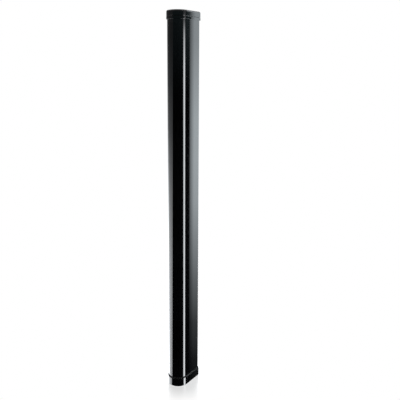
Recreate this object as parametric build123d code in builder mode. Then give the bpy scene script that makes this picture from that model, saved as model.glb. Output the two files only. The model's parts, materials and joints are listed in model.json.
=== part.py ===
from build123d import *
import os

# Slim column loudspeaker. Millimetres, +Z up, the rounded front towards -Y.
# The origin is the middle of the footprint, on the surface that the column stands on.

# ---- Driving dimensions ----
HEIGHT = 1000.0
CAP_RADIUS = 28.0  # half the width of the end caps, and the radius of their noses
OVERHANG = 2.0  # the caps stand this far proud of the body all round
DEPTH = 94.0  # front to back, over the caps
WALL = 2.0  # housing wall
FOOT_PROUD = 0.8  # the rubber feet lift the bottom cap by this much
BOTTOM_CAP_TOP = 22.5
TOP_CAP_HEIGHT = 14.5
COLLAR_HEIGHT = 6.8
COLLAR_GAP = 0.7  # shadow gap between the collar and the top cap
DRIVER_COUNT = 16
DRIVER_PITCH = 57.0

# ---- Plan outline ----
NOSE_Y = -DEPTH / 2 + CAP_RADIUS  # centre line of the half-round nose
CAP_BACK = DEPTH / 2
BODY_RADIUS = CAP_RADIUS - OVERHANG
BODY_BACK = CAP_BACK - OVERHANG
INNER_X = BODY_RADIUS - WALL
INNER_BACK = BODY_BACK - WALL
BACK_CORNER = 1.6

# ---- Stack of the body along Z ----
BODY_BOTTOM = 12.0
BODY_TOP = 984.0
SECTION_JOINT = 160.0  # height of the joint between the housing's two lengths
BODY_LENGTH = BODY_TOP - BODY_BOTTOM
BODY_MIDDLE = (BODY_TOP + BODY_BOTTOM) / 2
END_PLATE = 2.0  # bottom end plate
TOP_PLUG = 6.0  # the top end plate is a thick plug that the cap is pinned to
END_SEAL = 0.8
INSERTION = 2.0  # pieces inside the body stop this far short of its ends
COLLAR_TOP = HEIGHT - TOP_CAP_HEIGHT - COLLAR_GAP
COLLAR_BOTTOM = COLLAR_TOP - COLLAR_HEIGHT
plate_bottom = BODY_BOTTOM - END_PLATE
seal_bottom = plate_bottom - END_SEAL

# ---- Ends: screws, seals, rubber feet, collar and cap details ----
END_FIT = 0.2  # end plates are this much smaller than the body all round
SLIDE_FIT = 0.05
RIM_WIDTH = 4.0
SCREW_SHANK = 1.9
SCREW_HOLE = 2.2
SCREW_HEAD = 3.6
HEAD_HEIGHT = 2.4
HEAD_ROOM = 0.2  # clearance round and over a screw head
HEX_SOCKET = 1.6
SOCKET_DEPTH = 1.6
BOTTOM_SCREW_LENGTH = 20.0
TOP_SCREW_LENGTH = 16.0
FOOT_SPOTS = [(-18.0, -21.0), (18.0, -21.0), (-18.0, 27.0), (18.0, 27.0), (0.0, -36.0)]
FOOT_SIZE = 12.0
FOOT_CORNER = 2.0
FOOT_RECESS = 1.5
CAP_EASE = 0.4
LEDGE_FILLET = 0.5
TOP_CAP_SHOULDER = 4.0
TOP_CAP_ROOF = 3.5
COLLAR_PROUD = 0.2
COLLAR_TAPER = 3.0
COLLAR_TAPER_WIDTH = 1.6
COLLAR_FILLET = 0.6
PLUG_FLOOR = 2.0
PLUG_POCKET_WIDTH = 28.0
PLUG_POCKET_DEPTH = 68.0
SET_SCREW_X = 12.0
SET_SCREW_RISE = 4.0
SET_SCREW_RADIUS = 1.45
SET_SCREW_BORE = 1.5
SET_SCREW_GRIP = 6.0
SET_SCREW_LENGTH = 6.0
SET_SCREW_SUNK = 0.3
SET_SCREW_HEX = 0.8
SET_SCREW_HEX_DEPTH = 2.0

# ---- Extrusion details: rails for the grille and for the baffle ----
GRILLE_SHEET = 1.0
CLOTH = 0.6
CLOTH_FIT = 0.1
LIP_REACH = 20.6  # the grille's folded lips end this far from the centre plane
RAIL_REACH = 17.5
RAIL_BACK = NOSE_Y + 2.6
HOOK_POST = 1.5
HOOK_REACH = 23.0
HOOK_FRONT = NOSE_Y - 5.1
HOOK_BACK = NOSE_Y - 3.6
BAFFLE_LEG_X = 15.6
BAFFLE_SHEET = 1.5
BAFFLE_FOOT_X = 21.0
BAFFLE_WEB_X = 20.0
BAFFLE_FRONT = NOSE_Y - 12.0
BAFFLE_WEB = 2.0
RIB_THICK = 1.5
RIB_REACH = 19.0
FRONT_BOSS = (21.2, -8.0)
FRONT_BOSS_RADIUS = 3.5
REAR_BOSS = (21.4, 39.5)
REAR_BOSS_RADIUS = 3.2
SCREW_CHANNEL = 1.95

# ---- One driver: radii, and places along Y from its front to its back ----
DRIVER_HEIGHTS = [BODY_MIDDLE + (i - (DRIVER_COUNT - 1) / 2) * DRIVER_PITCH for i in range(DRIVER_COUNT)]
FLANGE_WIDTH = 36.5
FLANGE_HEIGHT = 42.0
FLANGE_CORNER = 4.0
FLANGE_THICK = 1.6
GASKET = 0.8
FLANGE_BACK = BAFFLE_FRONT - GASKET
FLANGE_FRONT = FLANGE_BACK - FLANGE_THICK
BASKET_RADIUS = 14.8
BASKET_INNER = 13.6
BAFFLE_HOLE = 15.2
SHELF_INNER = 10.9
SHELF_FRONT = 2.6  # the spider's shelf, ahead of the top plate
SHELF_BACK = 1.0
BASKET_TAPER = 3.6
WINDOW_START = 4.2
WINDOW_WIDTH = 9.0
WINDOW_HEIGHT = 8.0
WINDOW_LENGTH = 6.1
POLE_CLEARANCE = 0.5
MOTOR_FRONT = -20.0
PLATE_THICK = 2.5
MAGNET_THICK = 6.0
YOKE_THICK = 2.5
MOTOR_RADIUS = 12.5
MAGNET_RADIUS = 13.0
MAGNET_CLEARANCE = 1.2
GAP_RADIUS = 5.4
POLE_RADIUS = 4.2
FORMER_INNER = 4.6
FORMER_OUTER = 4.9
WINDING_RADIUS = 5.05
CONE_RIM = 12.6
CONE_SHEET = 0.7
CONE_DEPTH = 7.1
DOME_EDGE = 6.3
DOME_FRONT = 3.2
DOME_FRONT_RISE = 2.39
DOME_SHEET = 0.5
DOME_INNER_EDGE = 5.5
DOME_INNER_RISE = 2.6
WINDING_LENGTH = 5.0
COIL_OVERHANG = 4.5
SURROUND_SHEET = 0.5
LAND_GAP = 0.1
ROLL_CENTRE = 14.0
ROLL_RADIUS = 0.9
ROLL_SKIN = 0.45
ROLL_RISE = 1.3
INNER_LAND = 11.9
OUTER_LAND = 16.6
DRIVER_SCREW_X = 15.2
DRIVER_SCREW_Z = 17.5
DRIVER_SCREW_RADIUS = 1.15
DRIVER_SCREW_HEAD = 2.2
DRIVER_SCREW_HEAD_HEIGHT = 1.4

# ---- Rear terminal cup ----
CUP_BOTTOM = 60.0
CUP_TOP = 150.0
CUP_X = 17.2
CUP_WALL = 1.5
CUP_FLOOR_BACK = 34.0
CUP_FLOOR_FRONT = 32.0
CUP_FLANGE_X = 21.8
CUP_FLANGE_MARGIN = 6.5
CUP_FLANGE = 1.4
CUP_SCREW_X = 19.4
CUP_SCREW_MARGIN = 3.2
KNOB_Z = 130.0
KNOB_RADIUS = 10.0
KNOB_FRONT = 35.0
KNOB_BACK = 44.4
SHAFT_RADIUS = 3.0
SHAFT_CLEARANCE = 0.05
BUSH_RADIUS = 4.5
TERMINAL_HEIGHTS = {"input_terminal": 74.0, "link_terminal": 94.0}
TERMINAL_WAYS = 4
TERMINAL_PITCH = 6.6
CUP_FLANGE_CORNER = 3.0
CUP_FLANGE_FILLET = 0.5
CUP_SCREW_HOLE = 1.6
CUP_SCREW_RADIUS = 1.2
CUP_SCREW_PILOT = 1.25
CUP_SCREW_LENGTH = 3.3
CUP_SCREW_HEAD = 2.3
CUP_SCREW_HEAD_HEIGHT = 0.5
CUP_SCREW_HEX = 1.0
KNOB_ROOF = 2.0
KNOB_CHAMFER = 0.3
FLUTE_COUNT = 24
FLUTE_OFFSET = 0.35
FLUTE_RADIUS = 0.8
POINTER_WIDTH = 1.2
POINTER_START = 2.0
POINTER_DEPTH = 0.8
NUT_RADIUS = 6.6
NUT_HEIGHT = 2.0
NUT_POCKET = 3.2
NUT_POCKET_RADIUS = 7.6
SHAFT_INSIDE = 7.0
BUSH_LENGTH = 5.5
BUSH_CLEARANCE = 0.1
SWITCH_RADIUS = 12.5
SWITCH_DEPTH = 14.0
STRIP_DEPTH = 5.0
STRIP_HEIGHT = 12.0
BARRIER = 1.0
BARRIER_RISE = 4.5
WIRE_SCREW_HOLE = 1.3
WIRE_SCREW_RADIUS = 1.2
WIRE_SCREW_HEAD = 2.5
WIRE_SCREW_TOP = 2.0
WIRE_SCREW_SLOT = 0.7
WIRE_SCREW_SLOT_DEPTH = 1.0
WIRE_SCREW_FLOOR = 0.4
WIRE_SCREW_GRIP = 3.0

# ---- Bracket inserts and stand insert ----
INSERT_HEIGHTS = [220.0, 280.0, 720.0, 780.0]
INSERT_RADIUS = 4.5
INSERT_BORE = 2.5
INSERT_DEPTH = 10.0
INSERT_FLANGE = 0.8
INSERT_FLANGE_RADIUS = 6.0
STAND_Y = 4.0
STAND_INSERT_RADIUS = 7.5
STAND_BORE = 4.25

# ---- Inner electrics ----
TRANSFORMER_Y = 16.0
CORE_WIDTH = 42.0
CORE_STACK = 20.0
CORE_HEIGHT = 35.0
CORE_LIMB = 7.0
BRACKET_SHEET = 2.0
BOARD_Y = 30.0
BOARD_SHEET = 1.6
BOARD_BOTTOM = 165.0
BOARD_TOP = 209.0
BOARD_X = 18.0
BRACKET_LENGTH = 36.0
BRACKET_HOLE = 1.7
BRACKET_HOLE_Y = 15.0
STRAP = 1.2
STRAP_HALF = 8.0
COIL_CORNER = 3.0
BOARD_SCREW_X = 14.0
BOARD_SCREW_MARGIN = 4.0
BOARD_HOLE = 1.6
STANDOFF_RADIUS = 2.6
STANDOFF_PIN = 1.5
INDUCTOR_RISE = 13.0
INDUCTOR_RADIUS = 10.5
INDUCTOR_BORE = 4.5
INDUCTOR_DEPTH = 9.0
CAPACITOR_X = 6.0
CAPACITOR_DROP = 11.0
CAPACITOR_WIDTH = 10.5
CAPACITOR_HEIGHT = 16.0
CAPACITOR_DEPTH = 11.0
CAPACITOR_CORNER = 1.5
CAPACITOR_FILLET = 1.0
FOAM_X = 18.0
FOAM_BOTTOM = 262.0
FOAM_TOP = 968.0
FOAM_BACK = 26.0
FOAM_THICK = 6.0
WIRE_X = 7.0
WIRE_Y = -5.0
WIRE_RADIUS = 0.9
WIRE_BOTTOM = 56.0

os.makedirs("parts", exist_ok=True)


def front_plane(y):
    """Plane at this y that faces the front; extruding from it goes towards -Y."""
    return Plane.XZ.offset(-y)


def driver_axis(height):
    """The line that a driver's round pieces are turned about."""
    return Axis((0, 0, height), (0, 1, 0))


def slab(x0, x1, y0, y1, mode=Mode.ADD):
    """Rectangle between two corners, drawn in the current sketch."""
    with Locations(((x0 + x1) / 2, (y0 + y1) / 2)):
        Rectangle(abs(x1 - x0), abs(y1 - y0), mode=mode)


def mirrored_slab(x0, x1, y0, y1, mode=Mode.ADD):
    """The same rectangle on both sides of the centre plane."""
    for side in (-1, 1):
        slab(side * x0, side * x1, y0, y1, mode=mode)


def d_outline(radius, back):
    """Plan outline: half-round nose, flat sides and a flat back with eased corners."""
    with BuildSketch() as outline:
        with BuildLine():
            ThreePointArc((-radius, NOSE_Y), (0, NOSE_Y - radius), (radius, NOSE_Y))
            FilletPolyline(
                (radius, NOSE_Y), (radius, back), (-radius, back), (-radius, NOSE_Y), radius=BACK_CORNER
            )
        make_face()
    return outline.sketch


def dome_radius(edge, rise):
    """Radius of a spherical dome from its edge radius and its height."""
    return (edge**2 + rise**2) / (2 * rise)


def screw_spots():
    """The four screw channels of the extrusion, in plan."""
    return [(side * x, y) for x, y in (FRONT_BOSS, REAR_BOSS) for side in (-1, 1)]


def keep(piece, label):
    """Label a finished piece and write it as a node of its own."""
    piece.part.label = label
    export_step(piece.part, f"parts/{label}.step")


# ---- Housing: one profile in two lengths, the lower of which holds the terminal cup ----
def housing_profile():
    """Section of the housing: flat sides, back wall, screw bosses, grille hooks and baffle rails."""
    with BuildSketch() as profile:
        add(d_outline(BODY_RADIUS, BODY_BACK))
        slab(-BODY_RADIUS, BODY_RADIUS, NOSE_Y - BODY_RADIUS, NOSE_Y, mode=Mode.SUBTRACT)
        slab(-INNER_X, INNER_X, NOSE_Y, INNER_BACK, mode=Mode.SUBTRACT)
        mirrored_slab(RAIL_REACH, INNER_X, NOSE_Y, RAIL_BACK)
        mirrored_slab(RAIL_REACH, RAIL_REACH + HOOK_POST, HOOK_FRONT, NOSE_Y)
        mirrored_slab(RAIL_REACH, HOOK_REACH, HOOK_FRONT, HOOK_BACK)
        rib_front = RAIL_BACK + BAFFLE_SHEET
        mirrored_slab(RIB_REACH, INNER_X, rib_front, rib_front + RIB_THICK)
        for side in (-1, 1):
            with Locations((side * FRONT_BOSS[0], FRONT_BOSS[1])):
                Circle(FRONT_BOSS_RADIUS)
            with Locations((side * REAR_BOSS[0], REAR_BOSS[1])):
                Circle(REAR_BOSS_RADIUS)
        with Locations(*screw_spots()):
            Circle(SCREW_CHANNEL, mode=Mode.SUBTRACT)
    return profile.sketch


with BuildPart() as terminal_section:
    with BuildSketch(Plane.XY.offset(BODY_BOTTOM)):
        add(housing_profile())
    extrude(amount=SECTION_JOINT - BODY_BOTTOM)
    with BuildSketch(front_plane(BODY_BACK)):
        slab(-CUP_X - END_FIT, CUP_X + END_FIT, CUP_BOTTOM - END_FIT, CUP_TOP + END_FIT)
        for z in (CUP_BOTTOM - CUP_SCREW_MARGIN, CUP_TOP + CUP_SCREW_MARGIN):
            with Locations((-CUP_SCREW_X, z), (CUP_SCREW_X, z)):
                Circle(CUP_SCREW_PILOT)
    extrude(amount=WALL, mode=Mode.SUBTRACT)
keep(terminal_section, "terminal_section")

with BuildPart() as housing_extrusion:
    with BuildSketch(Plane.XY.offset(SECTION_JOINT)):
        add(housing_profile())
    extrude(amount=BODY_TOP - SECTION_JOINT)
    with BuildSketch(front_plane(BODY_BACK)):
        with Locations(*[(0, z) for z in INSERT_HEIGHTS]):
            Circle(INSERT_RADIUS)
    extrude(amount=WALL, mode=Mode.SUBTRACT)
keep(housing_extrusion, "housing_extrusion")

# ---- Wrap-round front grille, its cloth and its seal strips ----
with BuildPart() as front_grille:
    with BuildSketch(Plane.XY.offset(BODY_BOTTOM)):
        with Locations((0, NOSE_Y)):
            Circle(BODY_RADIUS)
            Circle(BODY_RADIUS - GRILLE_SHEET, mode=Mode.SUBTRACT)
        slab(-BODY_RADIUS, BODY_RADIUS, NOSE_Y, NOSE_Y + BODY_RADIUS, mode=Mode.SUBTRACT)
        mirrored_slab(LIP_REACH, BODY_RADIUS - GRILLE_SHEET / 2, NOSE_Y - GRILLE_SHEET, NOSE_Y)
    extrude(amount=BODY_LENGTH)
keep(front_grille, "front_grille")

cloth_outer = BODY_RADIUS - GRILLE_SHEET - CLOTH_FIT
with BuildPart() as grille_cloth:
    with BuildSketch(Plane.XY.offset(BODY_BOTTOM + INSERTION)):
        with Locations((0, NOSE_Y)):
            Circle(cloth_outer)
            Circle(cloth_outer - CLOTH, mode=Mode.SUBTRACT)
        slab(-BODY_RADIUS, BODY_RADIUS, HOOK_FRONT, NOSE_Y + BODY_RADIUS, mode=Mode.SUBTRACT)
    extrude(amount=BODY_LENGTH - 2 * INSERTION)
keep(grille_cloth, "grille_cloth")

with BuildPart() as grille_seal_strips:
    with BuildSketch(Plane.XY.offset(BODY_BOTTOM + INSERTION)):
        mirrored_slab(LIP_REACH, INNER_X, HOOK_BACK, NOSE_Y - GRILLE_SHEET)
    extrude(amount=BODY_LENGTH - 2 * INSERTION)
keep(grille_seal_strips, "grille_seal_strips")

# ---- Baffle: a channel that slides in from the end and carries the drivers ----
driver_screw_spots = [
    (side * DRIVER_SCREW_X, height + end * DRIVER_SCREW_Z)
    for height in DRIVER_HEIGHTS
    for side in (-1, 1)
    for end in (-1, 1)
]

with BuildPart() as baffle_channel:
    with BuildSketch(Plane.XY.offset(BODY_BOTTOM + INSERTION)):
        slab(-BAFFLE_WEB_X, BAFFLE_WEB_X, BAFFLE_FRONT, BAFFLE_FRONT + BAFFLE_WEB)
        foot_back = RAIL_BACK + BAFFLE_SHEET
        mirrored_slab(BAFFLE_LEG_X, BAFFLE_LEG_X + BAFFLE_SHEET, BAFFLE_FRONT, foot_back)
        mirrored_slab(BAFFLE_LEG_X, BAFFLE_FOOT_X, RAIL_BACK, foot_back)
    extrude(amount=BODY_LENGTH - 2 * INSERTION)
    with BuildSketch(front_plane(BAFFLE_FRONT + BAFFLE_WEB)):
        with Locations(*[(0, height) for height in DRIVER_HEIGHTS]):
            Circle(BAFFLE_HOLE)
        with Locations(*driver_screw_spots):
            Circle(DRIVER_SCREW_RADIUS + SHAFT_CLEARANCE)
    extrude(amount=BAFFLE_WEB, mode=Mode.SUBTRACT)
keep(baffle_channel, "baffle_channel")

# ---- Driver pieces that don't move: one node for each kind ----
with BuildPart() as driver_gaskets:
    with BuildSketch(front_plane(BAFFLE_FRONT)):
        with Locations(*[(0, height) for height in DRIVER_HEIGHTS]):
            RectangleRounded(FLANGE_WIDTH, FLANGE_HEIGHT, FLANGE_CORNER)
            Circle(BAFFLE_HOLE, mode=Mode.SUBTRACT)
        with Locations(*driver_screw_spots):
            Circle(DRIVER_SCREW_RADIUS + SHAFT_CLEARANCE, mode=Mode.SUBTRACT)
    extrude(amount=GASKET)
keep(driver_gaskets, "driver_gaskets")

with BuildPart() as driver_baskets:
    with BuildSketch(front_plane(FLANGE_BACK)):
        with Locations(*[(0, height) for height in DRIVER_HEIGHTS]):
            RectangleRounded(FLANGE_WIDTH, FLANGE_HEIGHT, FLANGE_CORNER)
            Circle(BASKET_INNER, mode=Mode.SUBTRACT)
        with Locations(*driver_screw_spots):
            Circle(DRIVER_SCREW_RADIUS + SHAFT_CLEARANCE, mode=Mode.SUBTRACT)
    extrude(amount=FLANGE_THICK)
    for height in DRIVER_HEIGHTS:
        with BuildSketch(Plane.XY.offset(height)):
            with BuildLine():
                Polyline(
                    (BASKET_INNER, FLANGE_BACK),
                    (BASKET_RADIUS, FLANGE_BACK),
                    (BASKET_RADIUS, MOTOR_FRONT - BASKET_TAPER),
                    (MOTOR_RADIUS, MOTOR_FRONT),
                    (GAP_RADIUS + POLE_CLEARANCE, MOTOR_FRONT),
                    (GAP_RADIUS + POLE_CLEARANCE, MOTOR_FRONT - SHELF_BACK),
                    (SHELF_INNER, MOTOR_FRONT - SHELF_BACK),
                    (SHELF_INNER, MOTOR_FRONT - SHELF_FRONT),
                    (BASKET_INNER, MOTOR_FRONT - SHELF_FRONT),
                    close=True,
                )
            make_face()
        revolve(axis=driver_axis(height))
    with BuildSketch(front_plane(MOTOR_FRONT - WINDOW_START)):
        with Locations(*[(0, height) for height in DRIVER_HEIGHTS]):
            with PolarLocations((BASKET_INNER + BASKET_RADIUS) / 2, 4, start_angle=45):
                Rectangle(WINDOW_WIDTH, WINDOW_HEIGHT)
    extrude(amount=WINDOW_LENGTH, mode=Mode.SUBTRACT)
keep(driver_baskets, "driver_baskets")

with BuildPart() as driver_top_plates:
    with BuildSketch(front_plane(MOTOR_FRONT + PLATE_THICK)):
        with Locations(*[(0, height) for height in DRIVER_HEIGHTS]):
            Circle(MOTOR_RADIUS)
            Circle(GAP_RADIUS, mode=Mode.SUBTRACT)
    extrude(amount=PLATE_THICK)
keep(driver_top_plates, "driver_top_plates")

magnet_back = MOTOR_FRONT + PLATE_THICK + MAGNET_THICK
with BuildPart() as driver_magnets:
    with BuildSketch(front_plane(magnet_back)):
        with Locations(*[(0, height) for height in DRIVER_HEIGHTS]):
            Circle(MAGNET_RADIUS)
            Circle(GAP_RADIUS + MAGNET_CLEARANCE, mode=Mode.SUBTRACT)
    extrude(amount=MAGNET_THICK)
keep(driver_magnets, "driver_magnets")

with BuildPart() as driver_yokes:
    with BuildSketch(front_plane(magnet_back + YOKE_THICK)):
        with Locations(*[(0, height) for height in DRIVER_HEIGHTS]):
            Circle(MOTOR_RADIUS)
    extrude(amount=YOKE_THICK)
    with BuildSketch(front_plane(magnet_back)):
        with Locations(*[(0, height) for height in DRIVER_HEIGHTS]):
            Circle(POLE_RADIUS)
    extrude(amount=MAGNET_THICK + PLATE_THICK)
keep(driver_yokes, "driver_yokes")

# Half-roll surrounds: the inner land is glued to the cone, the outer land to the flange.
with BuildPart() as driver_surrounds:
    roll_y = FLANGE_FRONT - LAND_GAP
    skin_y = FLANGE_FRONT - SURROUND_SHEET
    inner_foot = ROLL_CENTRE - ROLL_RADIUS
    outer_foot = ROLL_CENTRE + ROLL_RADIUS
    for height in DRIVER_HEIGHTS:
        with BuildSketch(Plane.XY.offset(height)):
            with BuildLine():
                Polyline(
                    (inner_foot - ROLL_SKIN, skin_y),
                    (INNER_LAND, skin_y),
                    (INNER_LAND, roll_y),
                    (inner_foot, roll_y),
                )
                ThreePointArc((inner_foot, roll_y), (ROLL_CENTRE, roll_y - ROLL_RISE), (outer_foot, roll_y))
                Polyline(
                    (outer_foot, roll_y),
                    (outer_foot, FLANGE_FRONT),
                    (OUTER_LAND, FLANGE_FRONT),
                    (OUTER_LAND, skin_y),
                    (outer_foot + ROLL_SKIN, skin_y),
                )
                ThreePointArc(
                    (outer_foot + ROLL_SKIN, skin_y),
                    (ROLL_CENTRE, skin_y - ROLL_RISE - LAND_GAP / 2),
                    (inner_foot - ROLL_SKIN, skin_y),
                )
            make_face()
        revolve(axis=driver_axis(height))
keep(driver_surrounds, "driver_surrounds")

# Corrugated spiders, which centre the voice coils.
SPIDER_WAVE = [(5.25, 0.0), (6.5, 0.0), (7.5, -0.8), (8.5, 0.0), (9.5, -0.8), (10.5, 0.0), (13.2, 0.0)]
SPIDER_SHEET = 0.4
spider_back = MOTOR_FRONT - SHELF_FRONT
with BuildPart() as driver_spiders:
    for height in DRIVER_HEIGHTS:
        with BuildSketch(Plane.XY.offset(height)):
            with BuildLine():
                rear_side = [(r, spider_back + rise) for r, rise in SPIDER_WAVE]
                front_side = [(r, y - SPIDER_SHEET) for r, y in reversed(rear_side)]
                Polyline(*rear_side, *front_side, close=True)
            make_face()
        revolve(axis=driver_axis(height))
keep(driver_spiders, "driver_spiders")

with BuildPart() as driver_screws:
    with BuildSketch(front_plane(BAFFLE_FRONT + BAFFLE_WEB)):
        with Locations(*driver_screw_spots):
            Circle(DRIVER_SCREW_RADIUS)
    extrude(amount=BAFFLE_WEB + GASKET + FLANGE_THICK)
    with BuildSketch(front_plane(FLANGE_FRONT)):
        with Locations(*driver_screw_spots):
            Circle(DRIVER_SCREW_HEAD)
    extrude(amount=DRIVER_SCREW_HEAD_HEIGHT)
keep(driver_screws, "driver_screws")

# ---- Moving cones: paper cone, dust cap, former and winding, bonded into one diaphragm ----
rim_y = FLANGE_FRONT
neck_y = rim_y + CONE_DEPTH
coil_end = MOTOR_FRONT + COIL_OVERHANG
dome_y = rim_y + DOME_FRONT
dome_inner_y = dome_y + DOME_SHEET
for number, height in enumerate(DRIVER_HEIGHTS, start=1):
    with BuildPart() as driver_cone:
        with BuildSketch(Plane.XY.offset(height)):
            with BuildLine():
                Line((CONE_RIM, rim_y), (DOME_EDGE, dome_y + DOME_FRONT_RISE))
                outer_dome = dome_radius(DOME_EDGE, DOME_FRONT_RISE)
                RadiusArc((DOME_EDGE, dome_y + DOME_FRONT_RISE), (0, dome_y), outer_dome)
                Line((0, dome_y), (0, dome_inner_y))
                inner_dome = dome_radius(DOME_INNER_EDGE, DOME_INNER_RISE)
                RadiusArc((0, dome_inner_y), (DOME_INNER_EDGE, dome_inner_y + DOME_INNER_RISE), -inner_dome)
                Polyline(
                    (DOME_INNER_EDGE, dome_inner_y + DOME_INNER_RISE),
                    (FORMER_INNER, neck_y),
                    (FORMER_INNER, coil_end),
                    (WINDING_RADIUS, coil_end),
                    (WINDING_RADIUS, coil_end - WINDING_LENGTH),
                    (FORMER_OUTER, coil_end - WINDING_LENGTH),
                    (FORMER_OUTER, neck_y + CONE_SHEET),
                    (CONE_RIM, rim_y + CONE_SHEET),
                    (CONE_RIM, rim_y),
                )
            make_face()
        revolve(axis=driver_axis(height))
    keep(driver_cone, f"driver_{number:02d}_cone")

# ---- Bottom: end plate, cap, rubber feet, screws and stand insert ----
with BuildPart() as bottom_end_plate:
    with BuildSketch(Plane.XY.offset(plate_bottom)):
        add(d_outline(BODY_RADIUS - END_FIT, BODY_BACK - END_FIT))
        with Locations(*screw_spots()):
            Circle(SCREW_HOLE, mode=Mode.SUBTRACT)
    extrude(amount=END_PLATE)
keep(bottom_end_plate, "bottom_end_plate")

with BuildPart() as bottom_cap:
    with BuildSketch(Plane.XY.offset(FOOT_PROUD)):
        add(d_outline(CAP_RADIUS, CAP_BACK))
    extrude(amount=BOTTOM_CAP_TOP - FOOT_PROUD)
    fillet(bottom_cap.faces().sort_by(Axis.Z)[-1].outer_wire().edges(), LEDGE_FILLET)
    chamfer(bottom_cap.faces().sort_by(Axis.Z)[0].outer_wire().edges(), CAP_EASE)
    with BuildSketch(Plane.XY.offset(seal_bottom)):
        add(d_outline(BODY_RADIUS, BODY_BACK))
    extrude(amount=BOTTOM_CAP_TOP - seal_bottom, mode=Mode.SUBTRACT)
    with BuildSketch(Plane.XY.offset(FOOT_PROUD)):
        with Locations(*FOOT_SPOTS):
            RectangleRounded(FOOT_SIZE, FOOT_SIZE, FOOT_CORNER)
    extrude(amount=FOOT_RECESS, mode=Mode.SUBTRACT)
    with BuildSketch(Plane.XY.offset(FOOT_PROUD)):
        with Locations(*screw_spots()):
            Circle(SCREW_HEAD + HEAD_ROOM)
    extrude(amount=FOOT_RECESS + HEAD_HEIGHT + HEAD_ROOM, mode=Mode.SUBTRACT)
    with BuildSketch(Plane.XY.offset(FOOT_PROUD)):
        with Locations(*screw_spots()):
            Circle(SCREW_HOLE)
        with Locations((0, STAND_Y)):
            Circle(STAND_INSERT_RADIUS)
    extrude(amount=seal_bottom - FOOT_PROUD, mode=Mode.SUBTRACT)
keep(bottom_cap, "bottom_cap")

with BuildPart() as bottom_screws:
    head_bottom = FOOT_PROUD + FOOT_RECESS + HEAD_ROOM
    with BuildSketch(Plane.XY.offset(head_bottom)):
        with Locations(*screw_spots()):
            Circle(SCREW_HEAD)
            RegularPolygon(HEX_SOCKET, 6, mode=Mode.SUBTRACT)
    extrude(amount=HEAD_HEIGHT)
    with BuildSketch(Plane.XY.offset(head_bottom + SOCKET_DEPTH)):
        with Locations(*screw_spots()):
            Circle(SCREW_SHANK)
    extrude(amount=BOTTOM_SCREW_LENGTH)
keep(bottom_screws, "bottom_screws")

with BuildPart() as stand_insert:
    with BuildSketch(Plane.XY.offset(FOOT_PROUD)):
        with Locations((0, STAND_Y)):
            Circle(STAND_INSERT_RADIUS)
            Circle(STAND_BORE, mode=Mode.SUBTRACT)
    extrude(amount=seal_bottom - FOOT_PROUD)
keep(stand_insert, "stand_insert")

with BuildPart() as base_feet:
    with BuildSketch():
        with Locations(*FOOT_SPOTS):
            RectangleRounded(FOOT_SIZE, FOOT_SIZE, FOOT_CORNER)
    extrude(amount=FOOT_PROUD + FOOT_RECESS)
keep(base_feet, "base_feet")

# ---- Top: collar, plug plate, cap and their fasteners, and the seals of both ends ----
with BuildPart() as top_collar:
    with BuildSketch(Plane.XY.offset(COLLAR_BOTTOM)):
        add(d_outline(CAP_RADIUS + COLLAR_PROUD, CAP_BACK + COLLAR_PROUD))
    extrude(amount=COLLAR_HEIGHT)
    chamfer(top_collar.faces().sort_by(Axis.Z)[0].outer_wire().edges(), COLLAR_TAPER, COLLAR_TAPER_WIDTH)
    fillet(top_collar.faces().sort_by(Axis.Z)[-1].outer_wire().edges(), COLLAR_FILLET)
    with BuildSketch(Plane.XY.offset(COLLAR_BOTTOM)):
        add(d_outline(BODY_RADIUS + SLIDE_FIT, BODY_BACK + SLIDE_FIT))
    extrude(amount=COLLAR_HEIGHT, mode=Mode.SUBTRACT)
keep(top_collar, "top_collar")

plug_top = BODY_TOP + TOP_PLUG
set_screw_spots = [(side * SET_SCREW_X, BODY_TOP + SET_SCREW_RISE) for side in (-1, 1)]
with BuildPart() as top_plug_plate:
    with BuildSketch(Plane.XY.offset(BODY_TOP)):
        add(d_outline(BODY_RADIUS - END_FIT, BODY_BACK - END_FIT))
        with Locations(*screw_spots()):
            Circle(SCREW_HOLE, mode=Mode.SUBTRACT)
    extrude(amount=TOP_PLUG)
    with BuildSketch(Plane.XY.offset(plug_top)):
        with Locations(*screw_spots()):
            Circle(SCREW_HEAD + HEAD_ROOM)
    extrude(amount=-HEAD_HEIGHT - HEAD_ROOM, mode=Mode.SUBTRACT)
    with BuildSketch(Plane.XY.offset(BODY_TOP + PLUG_FLOOR)):
        Rectangle(PLUG_POCKET_WIDTH, PLUG_POCKET_DEPTH)
    extrude(amount=TOP_PLUG, mode=Mode.SUBTRACT)
    with BuildSketch(front_plane(BODY_BACK)):
        with Locations(*set_screw_spots):
            Circle(SET_SCREW_BORE)
    extrude(amount=SET_SCREW_GRIP, mode=Mode.SUBTRACT)
keep(top_plug_plate, "top_plug_plate")

with BuildPart() as top_plate_screws:
    with BuildSketch(Plane.XY.offset(plug_top - HEAD_HEIGHT - HEAD_ROOM)):
        with Locations(*screw_spots()):
            Circle(SCREW_HEAD)
            RegularPolygon(HEX_SOCKET, 6, mode=Mode.SUBTRACT)
    extrude(amount=HEAD_HEIGHT)
    with BuildSketch(Plane.XY.offset(plug_top - HEAD_ROOM - SOCKET_DEPTH)):
        with Locations(*screw_spots()):
            Circle(SCREW_SHANK)
    extrude(amount=-TOP_SCREW_LENGTH)
keep(top_plate_screws, "top_plate_screws")

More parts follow.
